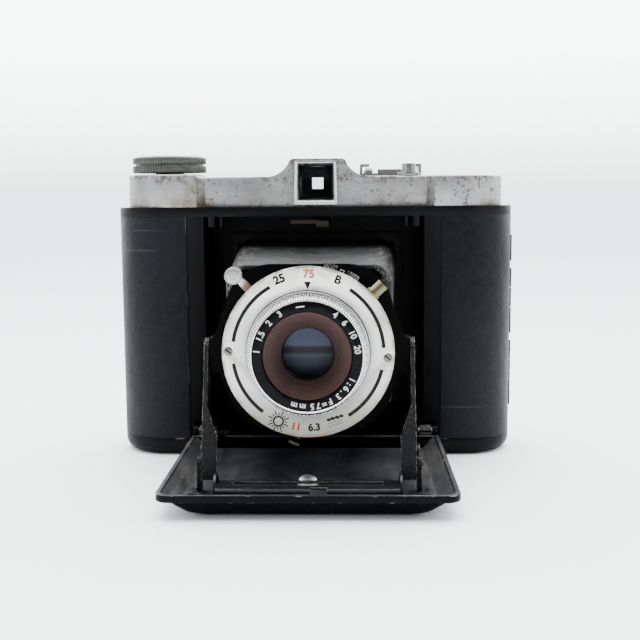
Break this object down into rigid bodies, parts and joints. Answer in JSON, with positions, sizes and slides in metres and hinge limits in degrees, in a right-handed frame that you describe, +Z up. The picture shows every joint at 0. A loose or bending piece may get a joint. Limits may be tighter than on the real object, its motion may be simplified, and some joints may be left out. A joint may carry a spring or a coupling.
{
  "type": "folding camera",
  "caption": "Folding roll-film camera, open: body with top housing and finder, drop bed, struts, pleated bellows, lens and shutter, film back with pressure plate.",
  "frame": {"origin": "mouth of the tripod socket in the base, at mid width and mid depth of the body", "axes": "+X to the right as the lens is looked at, -Y the way the lens looks, +Z up"},
  "size_m": [0.1371, 0.1065, 0.1015],
  "materials": {
    "body_paint": "gloss black enamel, worn",
    "leather_covering": "fine grained black leather",
    "inner_black": "matt black",
    "satin_silver": "satin silver, speckled with wear and rust",
    "bright_nickel": "polished nickel",
    "knob_metal": "dull grey, fine knurls",
    "steel": "bright steel",
    "brass_parts": "worn brass",
    "strut_paint": "black crinkle paint, bright at the edges",
    "blade_steel": "blued steel",
    "plate_silver": "fine satin silver with black and red marks",
    "ring_silver": "bright with fine knurls",
    "ring_black": "gloss black with white marks",
    "cone_brown": "coppery brown ridges",
    "bellows_cloth": "grey-black pleated leathercloth",
    "lens_glass": "clear",
    "red_glass": "deep red",
    "spool_paint": "black"
  },
  "bodies": {
    "body": {"body_shell": "body_paint", "base_plate": "body_paint", "tripod_bush": "brass_parts", "leather_left": "leather_covering", "leather_right": "leather_covering", "film_gate": "inner_black", "spool_pins": "steel", "hinge_pins": "steel", "bellows": "bellows_cloth", "top_housing": "satin_silver", "finder_frame": "bright_nickel", "finder_tunnel": "inner_black", "finder_front_lens": "lens_glass", "finder_rear_lens": "lens_glass", "accessory_shoe": "bright_nickel", "shoe_spring": "steel", "shoe_screws": "bright_nickel", "button_collar": "bright_nickel"},
    "bed": {"bed_plate": "body_paint", "strut_brackets": "strut_paint", "bed_latch_bar": "steel", "bed_rivet": "bright_nickel"},
    "strut_left": {"front_strut_left": "strut_paint"},
    "strut_right": {"front_strut_right": "strut_paint"},
    "link_left": {"rear_link_left": "strut_paint"},
    "link_right": {"rear_link_right": "strut_paint"},
    "standard": {"standard_board": "inner_black", "shutter_housing": "inner_black", "lens_mount_tube": "inner_black", "face_plate": "plate_silver", "plate_screws": "bright_nickel", "cable_release_socket": "brass_parts", "middle_lens": "lens_glass", "rear_lens_cell": "inner_black", "rear_lens": "lens_glass"},
    "speed_ring": {"speed_ring": "steel"},
    "shutter_lever": {"shutter_lever": "steel"},
    "blade_lower": {"shutter_blade_lower": "blade_steel"},
    "blade_upper": {"shutter_blade_upper": "blade_steel"},
    "aperture": {"aperture_lever": "brass_parts"},
    "front_cell": {"front_cell": "inner_black", "front_lens": "lens_glass", "baffle_cone": "cone_brown"},
    "focus_ring": {"focus_ring": "ring_silver", "name_ring": "ring_black"},
    "winder": {"winding_knob": "knob_metal", "take_up_spool": "spool_paint"},
    "button": {"release_button": "bright_nickel"},
    "bed_button": {"bed_release_button": "bright_nickel"},
    "latch_hook": {"bed_latch_hook": "bright_nickel"},
    "back": {"back_cover": "inner_black", "back_leather": "leather_covering", "pressure_plate": "inner_black", "pressure_springs": "steel", "red_window": "red_glass", "window_frame": "bright_nickel"},
    "window_cover": {"window_cover": "inner_black"},
    "back_latch": {"back_latch": "bright_nickel"},
    "roller_left": {"film_roller_left": "steel"},
    "roller_right": {"film_roller_right": "steel"}
  },
  "joints": [
    {"name": "bed_hinge", "type": "hinge", "parent": "body", "child": "bed", "pos_m": [0, -0.0155, 0.0085], "axis": [-1, 0, 0], "range_deg": [0, 90], "deforming": ["bellows"]},
    {"name": "strut_left_pivot", "type": "hinge", "parent": "bed", "child": "strut_left", "pos_m": [-0.03, -0.06969, 0.0115], "axis": [-1, 0, 0], "range_deg": [0, 47.2]},
    {"name": "strut_right_pivot", "type": "hinge", "parent": "bed", "child": "strut_right", "pos_m": [0.03, -0.06969, 0.0115], "axis": [-1, 0, 0], "range_deg": [0, 47.2]},
    {"name": "standard_pivot", "type": "hinge", "parent": "strut_left", "child": "standard", "pos_m": [-0.03, -0.06, 0.043], "axis": [-1, 0, 0], "range_deg": [-137.2, 0]},
    {"name": "link_left_pivot", "type": "hinge", "parent": "body", "child": "link_left", "pos_m": [-0.0315, -0.01415, 0.00696], "axis": [-1, 0, 0], "range_deg": [0, 81.5]},
    {"name": "link_right_pivot", "type": "hinge", "parent": "body", "child": "link_right", "pos_m": [0.0315, -0.01415, 0.00696], "axis": [-1, 0, 0], "range_deg": [0, 81.5]},
    {"name": "speed_ring_turn", "type": "hinge", "parent": "standard", "child": "speed_ring", "pos_m": [0, -0.0699, 0.044], "axis": [0, 1, 0], "range_deg": [-44, 0]},
    {"name": "shutter_lever_swing", "type": "hinge", "parent": "standard", "child": "shutter_lever", "pos_m": [0, -0.0682, 0.044], "axis": [0, -1, 0], "range_deg": [0, 18]},
    {"name": "blade_lower_swing", "type": "hinge", "parent": "standard", "child": "blade_lower", "pos_m": [-0.0165, -0.0661, 0.044], "axis": [0, 1, 0], "range_deg": [0, 35.1]},
    {"name": "blade_upper_swing", "type": "hinge", "parent": "standard", "child": "blade_upper", "pos_m": [-0.0165, -0.0666, 0.044], "axis": [0, -1, 0], "range_deg": [0, 35.1]},
    {"name": "aperture_swing", "type": "hinge", "parent": "standard", "child": "aperture", "pos_m": [0, -0.0655, 0.027], "axis": [0, -1, 0], "range_deg": [0, 37.5]},
    {"name": "focus_travel", "type": "slide", "parent": "standard", "child": "front_cell", "axis": [0, -1, 0], "range_m": [0, 0.0015]},
    {"name": "focus_turn", "type": "hinge", "parent": "front_cell", "child": "focus_ring", "pos_m": [0, -0.0755, 0.044], "axis": [0, -1, 0], "range_deg": [0, 270]},
    {"name": "winding_turn", "type": "hinge", "parent": "body", "child": "winder", "pos_m": [-0.0501, -0.0005, 0.098], "axis": [0, 0, 1], "continuous": true},
    {"name": "release_button_press", "type": "slide", "parent": "body", "child": "button", "axis": [0, 0, -1], "range_m": [0, 0.0025], "stiffness_N_per_m": 300, "springref_m": -0.002},
    {"name": "latch_hook_swing", "type": "hinge", "parent": "body", "child": "latch_hook", "pos_m": [0.003, -0.0115, 0.0794], "axis": [-1, 0, 0], "range_deg": [0, 8]},
    {"name": "bed_button_press", "type": "slide", "parent": "body", "child": "bed_button", "axis": [0, 0, -1], "range_m": [0, 0.0012], "stiffness_N_per_m": 150, "springref_m": -0.002},
    {"name": "back_hinge", "type": "hinge", "parent": "body", "child": "back", "pos_m": [0.0673, 0.0025, 0.044], "axis": [0, 0, -1], "range_deg": [0, 150]},
    {"name": "window_slide", "type": "slide", "parent": "back", "child": "window_cover", "axis": [1, 0, 0], "range_m": [0, 0.012]},
    {"name": "back_latch_slide", "type": "slide", "parent": "back", "child": "back_latch", "axis": [0, 0, 1], "range_m": [0, 0.004]},
    {"name": "roller_left_turn", "type": "hinge", "parent": "body", "child": "roller_left", "pos_m": [-0.0402, 0.0097, 0.044], "axis": [0, 0, 1], "continuous": true},
    {"name": "roller_right_turn", "type": "hinge", "parent": "body", "child": "roller_right", "pos_m": [0.0402, 0.0097, 0.044], "axis": [0, 0, 1], "continuous": true}
  ],
  "couplings": [
    {"joint": "strut_left_pivot", "follows": "bed_hinge", "ratio": 0.52422},
    {"joint": "strut_right_pivot", "follows": "bed_hinge", "ratio": 0.52422},
    {"joint": "standard_pivot", "follows": "bed_hinge", "ratio": -1.5242},
    {"joint": "link_left_pivot", "follows": "bed_hinge", "ratio": 0.904},
    {"joint": "link_right_pivot", "follows": "bed_hinge", "ratio": 0.904},
    {"joint": "shutter_lever_swing", "follows": "release_button_press", "rad_per_m": 125.6},
    {"joint": "blade_lower_swing", "follows": "release_button_press", "rad_per_m": 244.3},
    {"joint": "blade_upper_swing", "follows": "release_button_press", "rad_per_m": 244.3},
    {"joint": "focus_turn", "follows": "focus_travel", "rad_per_m": 3141},
    {"joint": "latch_hook_swing", "follows": "bed_button_press", "rad_per_m": 116.3}
  ]
}
